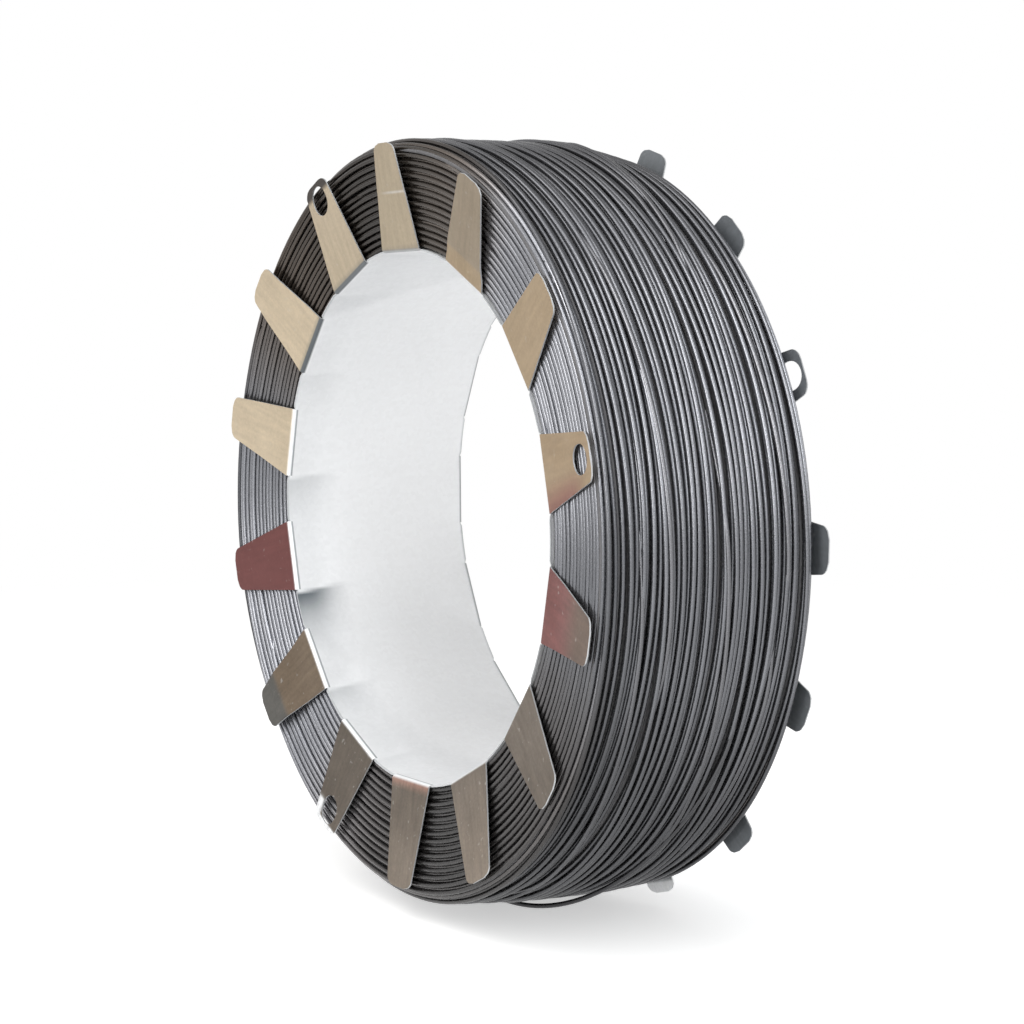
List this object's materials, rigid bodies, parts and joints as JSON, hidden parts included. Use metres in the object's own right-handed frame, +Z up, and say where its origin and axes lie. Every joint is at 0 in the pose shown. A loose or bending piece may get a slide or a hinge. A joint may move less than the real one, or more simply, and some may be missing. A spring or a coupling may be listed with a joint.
{
  "type": "coil of flux-cored welding wire",
  "caption": "Coil of steel welding wire wound on a zinc-coated sheet liner, with folded tabs holding both ends and an open round bore for a coil support.",
  "frame": {"origin": "centre of the bore, at the middle of the width", "axes": "+Y along the bore's axis towards the back end, +Z up as the coil stands, +X to the right seen from the front"},
  "size_m": [0.4274, 0.1408, 0.4274],
  "materials": {
    "zinc_sheet": "zinc-coated sheet, dull silver with light stains",
    "steel_wire": "drawn steel wire, dark grey, half gloss"
  },
  "bodies": {
    "root": {"liner": "zinc_sheet", "wire_coil": "steel_wire"}
  },
  "joints": []
}
